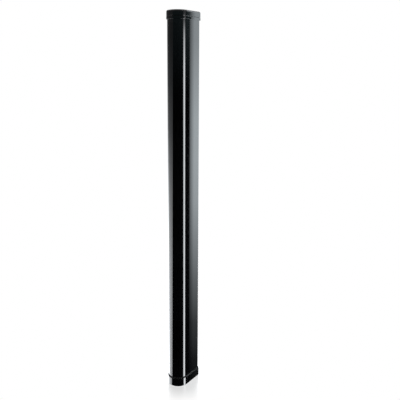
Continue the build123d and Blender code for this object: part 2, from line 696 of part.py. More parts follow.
with BuildPart() as end_seals:
    with BuildSketch(Plane.XY.offset(seal_bottom)):
        add(d_outline(BODY_RADIUS - END_FIT, BODY_BACK - END_FIT))
        with Locations(*screw_spots()):
            Circle(SCREW_HOLE, mode=Mode.SUBTRACT)
    extrude(amount=END_SEAL)
    with BuildSketch(Plane.XY.offset(plug_top)):
        add(d_outline(BODY_RADIUS - END_FIT, BODY_BACK - END_FIT))
        add(d_outline(BODY_RADIUS - RIM_WIDTH, BODY_BACK - RIM_WIDTH), mode=Mode.SUBTRACT)
        with Locations(*screw_spots()):
            Circle(SCREW_HEAD + HEAD_ROOM, mode=Mode.SUBTRACT)
    extrude(amount=END_SEAL)
keep(end_seals, "end_seals")

cap_bottom = HEIGHT - TOP_CAP_HEIGHT
with BuildPart() as top_cap:
    with BuildSketch(Plane.XY.offset(cap_bottom)):
        add(d_outline(CAP_RADIUS, CAP_BACK))
    extrude(amount=TOP_CAP_HEIGHT)
    fillet(top_cap.faces().sort_by(Axis.Z)[-1].outer_wire().edges(), TOP_CAP_SHOULDER)
    fillet(top_cap.faces().sort_by(Axis.Z)[0].outer_wire().edges(), CAP_EASE)
    with BuildSketch(Plane.XY.offset(cap_bottom)):
        add(d_outline(BODY_RADIUS, BODY_BACK))
    extrude(amount=plug_top + END_SEAL - cap_bottom, mode=Mode.SUBTRACT)
    with BuildSketch(Plane.XY.offset(cap_bottom)):
        add(d_outline(BODY_RADIUS - RIM_WIDTH, BODY_BACK - RIM_WIDTH))
    extrude(amount=TOP_CAP_HEIGHT - TOP_CAP_ROOF, mode=Mode.SUBTRACT)
    with BuildSketch(front_plane(CAP_BACK)):
        with Locations(*set_screw_spots):
            Circle(SET_SCREW_BORE)
    extrude(amount=OVERHANG, mode=Mode.SUBTRACT)
keep(top_cap, "top_cap")

with BuildPart() as top_cap_set_screws:
    screw_face = CAP_BACK - SET_SCREW_SUNK
    with BuildSketch(front_plane(screw_face)):
        with Locations(*set_screw_spots):
            Circle(SET_SCREW_RADIUS)
            RegularPolygon(SET_SCREW_HEX, 6, mode=Mode.SUBTRACT)
    extrude(amount=SET_SCREW_HEX_DEPTH)
    with BuildSketch(front_plane(screw_face - SET_SCREW_HEX_DEPTH)):
        with Locations(*set_screw_spots):
            Circle(SET_SCREW_RADIUS)
    extrude(amount=SET_SCREW_LENGTH - SET_SCREW_HEX_DEPTH)
keep(top_cap_set_screws, "top_cap_set_screws")

# ---- Rear terminal cup with its screws, terminal strips and tap selector ----
flange_face = BODY_BACK + CUP_FLANGE
flange_height = CUP_TOP - CUP_BOTTOM + 2 * CUP_FLANGE_MARGIN
cup_screw_heights = (CUP_BOTTOM - CUP_SCREW_MARGIN, CUP_TOP + CUP_SCREW_MARGIN)
cup_screw_spots = [(side * CUP_SCREW_X, z) for side in (-1, 1) for z in cup_screw_heights]
with BuildPart() as terminal_cup:
    with BuildSketch(front_plane(BODY_BACK)):
        slab(-CUP_X, CUP_X, CUP_BOTTOM, CUP_TOP)
    extrude(amount=BODY_BACK - CUP_FLOOR_FRONT)
    with BuildSketch(front_plane(flange_face)):
        with Locations((0, (CUP_BOTTOM + CUP_TOP) / 2)):
            RectangleRounded(2 * CUP_FLANGE_X, flange_height, CUP_FLANGE_CORNER)
    extrude(amount=CUP_FLANGE)
    fillet(terminal_cup.faces().sort_by(Axis.Y)[-1].outer_wire().edges(), CUP_FLANGE_FILLET)
    with BuildSketch(front_plane(flange_face)):
        slab(-CUP_X + CUP_WALL, CUP_X - CUP_WALL, CUP_BOTTOM + CUP_WALL, CUP_TOP - CUP_WALL)
    extrude(amount=flange_face - CUP_FLOOR_BACK, mode=Mode.SUBTRACT)
    with BuildSketch(front_plane(flange_face)):
        with Locations(*cup_screw_spots):
            Circle(CUP_SCREW_HOLE)
        with Locations((0, KNOB_Z)):
            Circle(BUSH_RADIUS + BUSH_CLEARANCE)
    extrude(amount=flange_face - CUP_FLOOR_FRONT, mode=Mode.SUBTRACT)
keep(terminal_cup, "terminal_cup")

with BuildPart() as cup_screws:
    with BuildSketch(front_plane(flange_face)):
        with Locations(*cup_screw_spots):
            Circle(CUP_SCREW_RADIUS)
    extrude(amount=CUP_SCREW_LENGTH)
    with BuildSketch(front_plane(flange_face + CUP_SCREW_HEAD_HEIGHT)):
        with Locations(*cup_screw_spots):
            Circle(CUP_SCREW_HEAD)
            RegularPolygon(CUP_SCREW_HEX, 6, mode=Mode.SUBTRACT)
    extrude(amount=CUP_SCREW_HEAD_HEIGHT)
keep(cup_screws, "cup_screws")

strip_half = TERMINAL_WAYS * TERMINAL_PITCH / 2
strip_face = CUP_FLOOR_BACK + STRIP_DEPTH
way_x = [(i - (TERMINAL_WAYS - 1) / 2) * TERMINAL_PITCH for i in range(TERMINAL_WAYS)]
for label, z in TERMINAL_HEIGHTS.items():
    with BuildPart() as terminal_strip:
        with BuildSketch(front_plane(strip_face)):
            with Locations((0, z)):
                Rectangle(2 * strip_half + BARRIER, STRIP_HEIGHT)
        extrude(amount=STRIP_DEPTH)
        with BuildSketch(front_plane(strip_face + BARRIER_RISE)):
            with Locations(*[(i * TERMINAL_PITCH - strip_half, z) for i in range(TERMINAL_WAYS + 1)]):
                Rectangle(BARRIER, STRIP_HEIGHT)
        extrude(amount=BARRIER_RISE)
        with BuildSketch(front_plane(strip_face)):
            with Locations(*[(x, z) for x in way_x]):
                Circle(WIRE_SCREW_HOLE)
        extrude(amount=WIRE_SCREW_GRIP, mode=Mode.SUBTRACT)
    keep(terminal_strip, label)

wire_screw_spots = [(x, z) for x in way_x for z in TERMINAL_HEIGHTS.values()]
with BuildPart() as terminal_screws:
    with BuildSketch(front_plane(strip_face + WIRE_SCREW_TOP)):
        with Locations(*wire_screw_spots):
            Circle(WIRE_SCREW_HEAD)
            Rectangle(2 * WIRE_SCREW_HEAD + BARRIER, WIRE_SCREW_SLOT, mode=Mode.SUBTRACT)
    extrude(amount=WIRE_SCREW_SLOT_DEPTH)
    with BuildSketch(front_plane(strip_face + WIRE_SCREW_TOP - WIRE_SCREW_SLOT_DEPTH)):
        with Locations(*wire_screw_spots):
            Circle(WIRE_SCREW_HEAD)
    extrude(amount=WIRE_SCREW_FLOOR)
    with BuildSketch(front_plane(strip_face + WIRE_SCREW_TOP - WIRE_SCREW_SLOT_DEPTH - WIRE_SCREW_FLOOR)):
        with Locations(*wire_screw_spots):
            Circle(WIRE_SCREW_RADIUS)
    extrude(amount=WIRE_SCREW_GRIP)
keep(terminal_screws, "terminal_screws")

# Rotary tap selector: body and bush are fixed, shaft and knob turn together.
bush_end = CUP_FLOOR_FRONT + BUSH_LENGTH
with BuildPart() as tap_switch_body:
    with BuildSketch(front_plane(CUP_FLOOR_FRONT)):
        with Locations((0, KNOB_Z)):
            Circle(SWITCH_RADIUS)
    extrude(amount=SWITCH_DEPTH)
    with BuildSketch(front_plane(bush_end)):
        with Locations((0, KNOB_Z)):
            Circle(BUSH_RADIUS)
    extrude(amount=BUSH_LENGTH)
    with BuildSketch(front_plane(bush_end)):
        with Locations((0, KNOB_Z)):
            Circle(SHAFT_RADIUS + SHAFT_CLEARANCE)
    extrude(amount=SWITCH_DEPTH, mode=Mode.SUBTRACT)
keep(tap_switch_body, "tap_switch_body")

with BuildPart() as tap_switch_nut:
    with BuildSketch(front_plane(CUP_FLOOR_BACK + NUT_HEIGHT)):
        with Locations((0, KNOB_Z)):
            RegularPolygon(NUT_RADIUS, 6)
            Circle(BUSH_RADIUS, mode=Mode.SUBTRACT)
    extrude(amount=NUT_HEIGHT)
keep(tap_switch_nut, "tap_switch_nut")

shaft_end = KNOB_BACK - KNOB_ROOF
with BuildPart() as tap_shaft:
    with BuildSketch(front_plane(shaft_end)):
        with Locations((0, KNOB_Z)):
            Circle(SHAFT_RADIUS)
    extrude(amount=shaft_end - CUP_FLOOR_FRONT + SHAFT_INSIDE)
keep(tap_shaft, "tap_shaft")

with BuildPart() as tap_knob:
    with BuildSketch(front_plane(KNOB_BACK)):
        with Locations((0, KNOB_Z)):
            Circle(KNOB_RADIUS)
            with PolarLocations(KNOB_RADIUS + FLUTE_OFFSET, FLUTE_COUNT):
                Circle(FLUTE_RADIUS, mode=Mode.SUBTRACT)
    extrude(amount=KNOB_BACK - KNOB_FRONT)
    chamfer(tap_knob.faces().sort_by(Axis.Y)[-1].outer_wire().edges(), KNOB_CHAMFER)
    with BuildSketch(front_plane(KNOB_FRONT + NUT_POCKET)):
        with Locations((0, KNOB_Z)):
            Circle(NUT_POCKET_RADIUS)
    extrude(amount=NUT_POCKET, mode=Mode.SUBTRACT)
    with BuildSketch(front_plane(shaft_end)):
        with Locations((0, KNOB_Z)):
            Circle(SHAFT_RADIUS)
    extrude(amount=KNOB_BACK - KNOB_FRONT, mode=Mode.SUBTRACT)
    with BuildSketch(front_plane(KNOB_BACK)):
        pointer_end = KNOB_Z + KNOB_RADIUS + POINTER_WIDTH
        slab(-POINTER_WIDTH / 2, POINTER_WIDTH / 2, KNOB_Z + POINTER_START, pointer_end)
    extrude(amount=POINTER_DEPTH, mode=Mode.SUBTRACT)
keep(tap_knob, "tap_knob")

# ---- Bracket inserts: rivet nuts in the back wall ----
insert_spots = [(0, z) for z in INSERT_HEIGHTS]
with BuildPart() as bracket_inserts:
    with BuildSketch(front_plane(BODY_BACK)):
        with Locations(*insert_spots):
            Circle(INSERT_RADIUS)
            Circle(INSERT_BORE, mode=Mode.SUBTRACT)
    extrude(amount=INSERT_DEPTH)
    with BuildSketch(front_plane(BODY_BACK + INSERT_FLANGE)):
        with Locations(*insert_spots):
            Circle(INSERT_FLANGE_RADIUS)
            Circle(INSERT_BORE, mode=Mode.SUBTRACT)
    extrude(amount=INSERT_FLANGE)
keep(bracket_inserts, "bracket_inserts")

# ---- Line transformer on its bracket, standing on the bottom end plate ----
core_bottom = BODY_BOTTOM + BRACKET_SHEET
core_half = CORE_WIDTH / 2
window_half = core_half - CORE_LIMB
with BuildPart() as transformer_bracket:
    with BuildSketch(Plane.XY.offset(BODY_BOTTOM)):
        with Locations((0, TRANSFORMER_Y)):
            Rectangle(CORE_WIDTH, BRACKET_LENGTH)
        with Locations((0, TRANSFORMER_Y - BRACKET_HOLE_Y), (0, TRANSFORMER_Y + BRACKET_HOLE_Y)):
            Circle(BRACKET_HOLE, mode=Mode.SUBTRACT)
    extrude(amount=BRACKET_SHEET)
    with BuildSketch(Plane.XY.offset(BODY_BOTTOM)):
        mirrored_slab(core_half, core_half + STRAP, TRANSFORMER_Y - STRAP_HALF, TRANSFORMER_Y + STRAP_HALF)
    extrude(amount=BRACKET_SHEET + CORE_HEIGHT)
keep(transformer_bracket, "transformer_bracket")

with BuildPart() as transformer_core:
    with BuildSketch(front_plane(TRANSFORMER_Y + CORE_STACK / 2)):
        slab(-core_half, core_half, core_bottom, core_bottom + CORE_HEIGHT)
        window_bottom = core_bottom + CORE_LIMB
        window_top = core_bottom + CORE_HEIGHT - CORE_LIMB
        mirrored_slab(CORE_LIMB, window_half, window_bottom, window_top, Mode.SUBTRACT)
    extrude(amount=CORE_STACK)
keep(transformer_core, "transformer_core")

with BuildPart() as transformer_coil:
    with BuildSketch(Plane.XY.offset(core_bottom + CORE_LIMB)):
        with Locations((0, TRANSFORMER_Y)):
            RectangleRounded(2 * window_half, CORE_STACK + 2 * (window_half - CORE_LIMB), COIL_CORNER)
            Rectangle(2 * CORE_LIMB, CORE_STACK, mode=Mode.SUBTRACT)
    extrude(amount=CORE_HEIGHT - 2 * CORE_LIMB)
keep(transformer_coil, "transformer_coil")

# ---- Filter board with its parts, on four stand-offs from the back wall ----
board_back = BOARD_Y + BOARD_SHEET
board_spots = [
    (side * BOARD_SCREW_X, z)
    for side in (-1, 1)
    for z in (BOARD_BOTTOM + BOARD_SCREW_MARGIN, BOARD_TOP - BOARD_SCREW_MARGIN)
]
with BuildPart() as filter_board:
    with BuildSketch(front_plane(board_back)):
        slab(-BOARD_X, BOARD_X, BOARD_BOTTOM, BOARD_TOP)
        with Locations(*board_spots):
            Circle(BOARD_HOLE, mode=Mode.SUBTRACT)
    extrude(amount=BOARD_SHEET)
keep(filter_board, "filter_board")

with BuildPart() as board_standoffs:
    with BuildSketch(front_plane(INNER_BACK)):
        with Locations(*board_spots):
            Circle(STANDOFF_RADIUS)
    extrude(amount=INNER_BACK - board_back)
    with BuildSketch(front_plane(board_back)):
        with Locations(*board_spots):
            Circle(STANDOFF_PIN)
    extrude(amount=BOARD_SHEET + STANDOFF_PIN)
keep(board_standoffs, "board_standoffs")

with BuildPart() as filter_inductor:
    with BuildSketch(front_plane(BOARD_Y)):
        with Locations((0, BOARD_BOTTOM + INDUCTOR_RISE)):
            Circle(INDUCTOR_RADIUS)
            Circle(INDUCTOR_BORE, mode=Mode.SUBTRACT)
    extrude(amount=INDUCTOR_DEPTH)
keep(filter_inductor, "filter_inductor")

with BuildPart() as filter_capacitors:
    with BuildSketch(front_plane(BOARD_Y)):
        capacitor_z = BOARD_TOP - CAPACITOR_DROP
        with Locations((-CAPACITOR_X, capacitor_z), (CAPACITOR_X, capacitor_z)):
            RectangleRounded(CAPACITOR_WIDTH, CAPACITOR_HEIGHT, CAPACITOR_CORNER)
    extrude(amount=CAPACITOR_DEPTH)
    fillet(filter_capacitors.faces().sort_by(Axis.Y)[0:2].edges(), CAPACITOR_FILLET)
keep(filter_capacitors, "filter_capacitors")

# ---- Wadding behind the drivers, and the two bus wires that feed them ----
with BuildPart() as damping_foam:
    with BuildSketch(front_plane(FOAM_BACK)):
        slab(-FOAM_X, FOAM_X, FOAM_BOTTOM, FOAM_TOP)
    extrude(amount=FOAM_THICK)
keep(damping_foam, "damping_foam")

with BuildPart() as bus_wires:
    with BuildSketch(Plane.XY.offset(WIRE_BOTTOM)):
        with Locations((-WIRE_X, WIRE_Y), (WIRE_X, WIRE_Y)):
            Circle(WIRE_RADIUS)
    extrude(amount=DRIVER_HEIGHTS[-1] - WIRE_BOTTOM)
keep(bus_wires, "bus_wires")
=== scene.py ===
"""Looks of the column loudspeaker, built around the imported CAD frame."""

import json
import math

import bpy
import numpy as np
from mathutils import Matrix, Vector


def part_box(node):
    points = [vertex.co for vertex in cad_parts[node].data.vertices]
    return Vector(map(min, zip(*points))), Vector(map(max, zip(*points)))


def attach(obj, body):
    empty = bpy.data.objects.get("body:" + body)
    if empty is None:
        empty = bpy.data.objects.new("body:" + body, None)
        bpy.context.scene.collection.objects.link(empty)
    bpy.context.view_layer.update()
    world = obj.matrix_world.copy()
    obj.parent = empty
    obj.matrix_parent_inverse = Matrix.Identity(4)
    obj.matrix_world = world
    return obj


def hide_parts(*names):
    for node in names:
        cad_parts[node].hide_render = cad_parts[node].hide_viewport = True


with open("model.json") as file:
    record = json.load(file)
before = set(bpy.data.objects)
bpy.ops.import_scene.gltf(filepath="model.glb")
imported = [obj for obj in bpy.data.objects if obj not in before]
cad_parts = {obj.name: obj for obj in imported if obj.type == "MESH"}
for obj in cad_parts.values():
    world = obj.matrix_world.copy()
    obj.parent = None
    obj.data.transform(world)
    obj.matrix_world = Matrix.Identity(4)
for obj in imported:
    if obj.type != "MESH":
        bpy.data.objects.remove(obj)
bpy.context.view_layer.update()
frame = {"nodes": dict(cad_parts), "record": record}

nodes = frame["nodes"]

# ---- Places and sizes, read from the frame (metres) ----
grille_low, grille_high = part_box("front_grille")
housing_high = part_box("housing_extrusion")[1]
collar_low, collar_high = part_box("top_collar")
knob_low, knob_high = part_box("tap_knob")

BODY_RADIUS = housing_high.x
NOSE_Y = grille_low.y + BODY_RADIUS
MM = 0.001

SHARP_DEGREES = 50
FLAT_FACE_WEIGHT = 100
SMALLEST_CORNER = 0.1 * MM
NOSE_STEPS = 64
CORNER_STEPS = 6
EASE_STEPS = 6


# =====================================================================================
# Mesh helpers
# =====================================================================================
def new_object(name, vertices, faces, material, smooth=True):
    """A mesh object from plain lists, with its material, linked into the scene."""
    mesh = bpy.data.meshes.new(name)
    mesh.from_pydata(vertices, [], faces)
    mesh.validate()
    mesh.update()
    obj = bpy.data.objects.new(name, mesh)
    bpy.context.scene.collection.objects.link(obj)
    obj.data.materials.append(material)
    if smooth:
        mesh.shade_smooth()
    return obj


def keep_edges(obj):
    """Sharp edges stay sharp, and flat faces keep flat shading beside rounded ones."""
    obj.data.set_sharp_from_angle(angle=math.radians(SHARP_DEGREES))
    weighted = obj.modifiers.new("weighted", "WEIGHTED_NORMAL")
    weighted.keep_sharp = True
    weighted.weight = FLAT_FACE_WEIGHT
    return obj


def d_ring(radius, back, z, corner):
    """One closed ring of the D outline: nose, right side, rounded back corners, left side."""
    points = []
    for i in range(NOSE_STEPS + 1):
        a = math.pi * i / NOSE_STEPS
        points.append((-radius * math.cos(a), NOSE_Y - radius * math.sin(a), z))
    for side, start in ((1, 0.0), (-1, math.pi / 2)):
        centre_x = side * (radius - corner)
        for i in range(CORNER_STEPS + 1):
            a = start + math.pi / 2 * i / CORNER_STEPS
            points.append((centre_x + corner * math.cos(a), back - corner + corner * math.sin(a), z))
    return points


def loft(name, rings, material):
    """Skin between rings of equal count, the last of which joins the first."""
    count = len(rings[0])
    vertices = [p for ring in rings for p in ring]
    faces = []
    for k in range(len(rings)):
        a, b = k * count, ((k + 1) % len(rings)) * count
        for i in range(count):
            j = (i + 1) % count
            faces.append((a + i, a + j, b + j, b + i))
    return new_object(name, vertices, faces, material)


def arc_levels(radius, z_centre, inset_centre, start, stop):
    """(inset, z) pairs along a quarter-round profile, angles in degrees from the horizontal."""
    levels = []
    for i in range(EASE_STEPS + 1):
        a = math.radians(start + (stop - start) * i / EASE_STEPS)
        levels.append((inset_centre - radius * math.cos(a), z_centre + radius * math.sin(a)))
    return levels


def d_loft(name, levels, material, radius, back, corner):
    """Loft of D rings; each level is (how far inside the full outline, height)."""
    rings = []
    for inset, z in levels:
        rings.append(d_ring(radius - inset, back - inset, z, max(corner - inset, SMALLEST_CORNER)))
    return loft(name, rings, material)


# =====================================================================================
# Materials; grain, lines and threads are counts to the metre, depths are in metres
# =====================================================================================
BAND_SCALE = 1 / math.pi  # the wave texture's scale for about one band to the metre
BROAD_TO_FINE = 0.12  # how coarse the colour patches are beside the grain
HAZE_SCALE = 9.0
PEEL_SCALE = 420.0
FUZZ_SCALE = 900.0
SMUDGE_SCALE = 60.0
LACQUER_IOR = 1.5
LACQUER_DARK = (0.0005, 0.0005, 0.0006)
LACQUER_LIGHT = (0.0013, 0.0013, 0.0015)
THREAD_WANDER = 0.6
LINE_WANDER = 1.2
CLOTH_ROUGHNESS = (0.8, 1.0)
CLOTH_SHEEN = 0.15
TWO_TONE = (0.35, 0.65)  # where a soft two-colour pattern starts and stops blending
THREAD_TONE = (0.2, 0.9)
LINE_TONE = (0.1, 0.9)


def grey(level):
    """The colour whose three parts are all the same."""
    return (level, level, level)


def node_material(name):
    """A new material with its node tree, its Principled shader and object coordinates."""
    material = bpy.data.materials.new(name)
    material.use_nodes = True
    tree = material.node_tree
    shader = tree.nodes["Principled BSDF"]
    coords = tree.nodes.new("ShaderNodeTexCoord")
    return material, tree, shader, coords


def noise(tree, coords, scale, detail, roughness=0.5):
    """Noise over the object's own coordinates."""
    texture = tree.nodes.new("ShaderNodeTexNoise")
    texture.inputs["Scale"].default_value = scale
    texture.inputs["Detail"].default_value = detail
    texture.inputs["Roughness"].default_value = roughness
    tree.links.new(coords.outputs["Object"], texture.inputs["Vector"])
    return texture


def colour_ramp(tree, source, low, high, span):
    """Blend between two colours by a texture's value, over a span of that value."""
    ramp = tree.nodes.new("ShaderNodeValToRGB")
    for element, place, colour in zip(ramp.color_ramp.elements, span, (low, high)):
        element.position = place
        element.color = (*colour, 1)
    tree.links.new(source, ramp.inputs["Fac"])
    return ramp


def value_range(tree, source, low, high):
    """The texture's 0 to 1 value moved into a range."""
    spread = tree.nodes.new("ShaderNodeMapRange")
    spread.inputs["To Min"].default_value = low
    spread.inputs["To Max"].default_value = high
    tree.links.new(source, spread.inputs["Value"])
    return spread.outputs["Result"]


def add_bump(tree, shader, height, depth):
    """Fine relief of full strength."""
    bump = tree.nodes.new("ShaderNodeBump")
    bump.inputs["Strength"].default_value = 1.0
    bump.inputs["Distance"].default_value = depth
    tree.links.new(height, bump.inputs["Height"])
    tree.links.new(bump.outputs["Normal"], shader.inputs["Normal"])


def mottled(name, low, high, grain, rough, depth, metal=0.0, specular=0.5):
    """A surface whose roughness and relief vary with a fine grain, and its colour in broader patches."""
    material, tree, shader, coords = node_material(name)
    shader.inputs["Metallic"].default_value = metal
    shader.inputs["Specular IOR Level"].default_value = specular
    broad = noise(tree, coords, grain * BROAD_TO_FINE, detail=2.0)
    fine = noise(tree, coords, grain, detail=4.0)
    ramp = colour_ramp(tree, broad.outputs["Fac"], low, high, TWO_TONE)
    tree.links.new(ramp.outputs["Color"], shader.inputs["Base Color"])
    tree.links.new(value_range(tree, fine.outputs["Fac"], *rough), shader.inputs["Roughness"])
    add_bump(tree, shader, fine.outputs["Fac"], depth)
    return material


def gloss_lacquer(name, rough, peel):
    """Mirror-gloss black lacquer: almost black, a trace of orange peel and of polishing haze."""
    material, tree, shader, coords = node_material(name)
    shader.inputs["IOR"].default_value = LACQUER_IOR
    haze = noise(tree, coords, HAZE_SCALE, detail=5.0, roughness=0.6)
    ramp = colour_ramp(tree, haze.outputs["Fac"], LACQUER_DARK, LACQUER_LIGHT, TWO_TONE)
    tree.links.new(ramp.outputs["Color"], shader.inputs["Base Color"])
    tree.links.new(value_range(tree, haze.outputs["Fac"], *rough), shader.inputs["Roughness"])
    ripple = noise(tree, coords, PEEL_SCALE, detail=1.0)
    add_bump(tree, shader, ripple.outputs["Fac"], peel)
    return material


def bands(tree, coords, direction, count, wander):
    """Parallel bands along one axis, so many to the metre, that wander a little."""
    wave = tree.nodes.new("ShaderNodeTexWave")
    wave.wave_type = "BANDS"
    wave.bands_direction = direction
    wave.inputs["Scale"].default_value = count * BAND_SCALE
    wave.inputs["Distortion"].default_value = wander
    tree.links.new(coords.outputs["Object"], wave.inputs["Vector"])
    return wave


def woven(name, dark, light, threads, depth):
    """Cloth with two crossing sets of threads."""
    material, tree, shader, coords = node_material(name)
    waves = [bands(tree, coords, direction, threads, THREAD_WANDER) for direction in ("X", "Z")]
    crossing = tree.nodes.new("ShaderNodeMath")
    crossing.operation = "MAXIMUM"
    tree.links.new(waves[0].outputs["Fac"], crossing.inputs[0])
    tree.links.new(waves[1].outputs["Fac"], crossing.inputs[1])
    ramp = colour_ramp(tree, crossing.outputs["Value"], dark, light, THREAD_TONE)
    tree.links.new(ramp.outputs["Color"], shader.inputs["Base Color"])
    fuzz = noise(tree, coords, FUZZ_SCALE, detail=3.0)
    tree.links.new(value_range(tree, fuzz.outputs["Fac"], *CLOTH_ROUGHNESS), shader.inputs["Roughness"])
    shader.inputs["Sheen Weight"].default_value = CLOTH_SHEEN
    add_bump(tree, shader, crossing.outputs["Value"], depth)
    return material


def banded(name, low, high, direction, lines, rough, depth, metal):
    """Fine parallel lines, as on brushed metal, stacked laminations or a wound coil."""
    material, tree, shader, coords = node_material(name)
    shader.inputs["Metallic"].default_value = metal
    wave = bands(tree, coords, direction, lines, LINE_WANDER)
    ramp = colour_ramp(tree, wave.outputs["Fac"], low, high, LINE_TONE)
    tree.links.new(ramp.outputs["Color"], shader.inputs["Base Color"])
    smudge = noise(tree, coords, SMUDGE_SCALE, detail=3.0)
    tree.links.new(value_range(tree, smudge.outputs["Fac"], *rough), shader.inputs["Roughness"])
    add_bump(tree, shader, wave.outputs["Fac"], depth)
    return material


lacquer = gloss_lacquer("gloss_black_lacquer", rough=(0.018, 0.03), peel=0.3e-6)
cap_lacquer = gloss_lacquer("gloss_black_casting", rough=(0.04, 0.07), peel=0.6e-6)
grille_lacquer = gloss_lacquer("gloss_black_grille", rough=(0.035, 0.065), peel=0.4e-6)
# Near-black rubber with hardly any shine for the ledge seal: its own dark colour, darkened further as painted
# shade along the ledge.
seal_rubber_and_shade = mottled(
    "seal_rubber_and_shade", grey(0.003), grey(0.007),
    grain=1500, rough=(0.6, 0.8), depth=1e-5, specular=0.08,
)
white_fill = mottled(
    "pointer_white", (0.75, 0.75, 0.73), (0.85, 0.85, 0.83),
    grain=2000, rough=(0.4, 0.55), depth=2e-6,
)

FINISHES = {
    "acoustic_cloth": woven("acoustic_cloth", grey(0.002), (0.02, 0.02, 0.021), threads=1400, depth=6e-5),
    "black_rubber": mottled(
        "rubber", grey(0.012), grey(0.022),
        grain=1500, rough=(0.65, 0.85), depth=1.5e-5,
    ),
    "foam": mottled(
        "foam", (0.02, 0.02, 0.021), (0.06, 0.06, 0.063),
        grain=700, rough=(0.9, 1.0), depth=4e-4, specular=0.1,
    ),
    "baffle_metal": banded(
        "anodised", (0.02, 0.02, 0.021), (0.04, 0.04, 0.042), "X",
        lines=2500, rough=(0.3, 0.45), depth=2e-6, metal=0.9,
    ),
    "basket_steel": mottled(
        "basket_paint", grey(0.01), grey(0.03),
        grain=1200, rough=(0.35, 0.5), depth=4e-6,
    ),
    "plated_steel": mottled(
        "zinc_plate", (0.5, 0.5, 0.49), (0.66, 0.66, 0.63),
        grain=900, rough=(0.25, 0.42), depth=2e-6, metal=1.0,
    ),
    "magnet_ferrite": mottled(
        "ferrite", (0.03, 0.03, 0.032), (0.07, 0.07, 0.072),
        grain=800, rough=(0.55, 0.7), depth=1e-5, metal=0.2,
    ),
    "cone_paper": mottled(
        "cone_paper", (0.02, 0.02, 0.021), (0.05, 0.05, 0.052),
        grain=1600, rough=(0.75, 0.9), depth=3e-5,
    ),
    "spider_cloth": woven("spider_cloth", (0.3, 0.2, 0.07), (0.55, 0.4, 0.18), threads=1200, depth=8e-5),
    "black_plastic": mottled(
        "moulded_black", (0.011, 0.011, 0.012), (0.018, 0.018, 0.019),
        grain=2600, rough=(0.45, 0.55), depth=4e-6,
    ),
    "knob_plastic": mottled(
        "knob_black", (0.014, 0.014, 0.015), (0.02, 0.02, 0.021),
        grain=3000, rough=(0.3, 0.42), depth=5e-6,
    ),
    "terminal_plastic": mottled(
        "glass_nylon", grey(0.02), (0.035, 0.035, 0.034),
        grain=2200, rough=(0.45, 0.6), depth=8e-6,
    ),
    "black_oxide_steel": mottled(
        "black_oxide", (0.02, 0.02, 0.022), (0.045, 0.045, 0.05),
        grain=1800, rough=(0.3, 0.45), depth=3e-6, metal=0.9,
    ),
    "insert_steel": mottled(
        "insert_plate", (0.42, 0.42, 0.43), grey(0.58),
        grain=1400, rough=(0.22, 0.38), depth=3e-6, metal=1.0,
    ),
    "insert_brass": banded(
        "turned_brass", (0.6, 0.42, 0.16), (0.76, 0.57, 0.28), "Z",
        lines=4000, rough=(0.2, 0.32), depth=2e-6, metal=1.0,
    ),
    "lamination_steel": banded(
        "laminations", (0.08, 0.08, 0.085), (0.22, 0.22, 0.23), "Y",
        lines=2000, rough=(0.4, 0.55), depth=5e-5, metal=0.8,
    ),
    "copper_winding": banded(
        "winding", (0.32, 0.12, 0.04), (0.6, 0.28, 0.12), "Z",
        lines=1500, rough=(0.3, 0.4), depth=1e-4, metal=0.7,
    ),
    "board_laminate": mottled(
        "solder_mask", (0.01, 0.07, 0.03), (0.02, 0.13, 0.05),
        grain=300, rough=(0.25, 0.4), depth=6e-6,
    ),
    "capacitor_film": mottled(
        "capacitor_case", (0.3, 0.05, 0.03), (0.38, 0.08, 0.04),
        grain=1000, rough=(0.3, 0.42), depth=3e-6,
    ),
    "wire_insulation": mottled(
        "pvc_red", (0.3, 0.01, 0.01), (0.42, 0.03, 0.02),
        grain=700, rough=(0.35, 0.45), depth=3e-6,
    ),
    "lacquered_aluminium": lacquer,
    "cast_zinc": cap_lacquer,
    "grille_metal": grille_lacquer,
}

# Every CAD node takes the finish of its slot in the record.
for subpart in frame["record"]["subparts"]:
    cad_mesh = nodes[subpart["node"]].data
    cad_mesh.materials.clear()
    cad_mesh.materials.append(FINISHES[subpart["material_slot"]])


# =====================================================================================
# Collar under the top cap, and the dark rubber seal on the ledge of the bottom cap, kept near black as
# painted shade along the ledge
# =====================================================================================
RING_CORNER = 1.8 * MM
RING_CLEARANCE = 0.05 * MM
COLLAR_EASE = 0.35 * MM
SEAL_EASE = 0.5 * MM
SEAL_PROUD = 1.3 * MM
SEAL_HEIGHT = 3.6 * MM


def trim_ring(name, material, outer_x, outer_y, depth, z_low, z_high, ease):
    """Closed band round the body: upright outer face, eased edges, flat ends."""
    levels = [(depth, z_low)]
    levels += arc_levels(ease, z_low + ease, ease, start=-90, stop=0)
    levels += arc_levels(ease, z_high - ease, ease, start=0, stop=90)
    levels.append((depth, z_high))
    return keep_edges(d_loft(name, levels, material, outer_x, outer_y, RING_CORNER))


collar_depth = collar_high.x - BODY_RADIUS - RING_CLEARANCE
collar_ring = trim_ring("top_collar_ring", lacquer, collar_high.x, collar_high.y, collar_depth,
                        collar_low.z, collar_high.z, COLLAR_EASE)
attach(collar_ring, "column")
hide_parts("top_collar")

ledge_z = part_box("bottom_cap")[1].z
# The seal ring is partly a real rubber seal and partly painted shade: a near-black band where the ledge lies
# in shade.
seal_and_shade_ring = trim_ring("bottom_ledge_seal_and_shade", seal_rubber_and_shade, BODY_RADIUS + SEAL_PROUD, housing_high.y + SEAL_PROUD,
                      SEAL_PROUD - RING_CLEARANCE, ledge_z, ledge_z + SEAL_HEIGHT, SEAL_EASE)
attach(seal_and_shade_ring, "column")


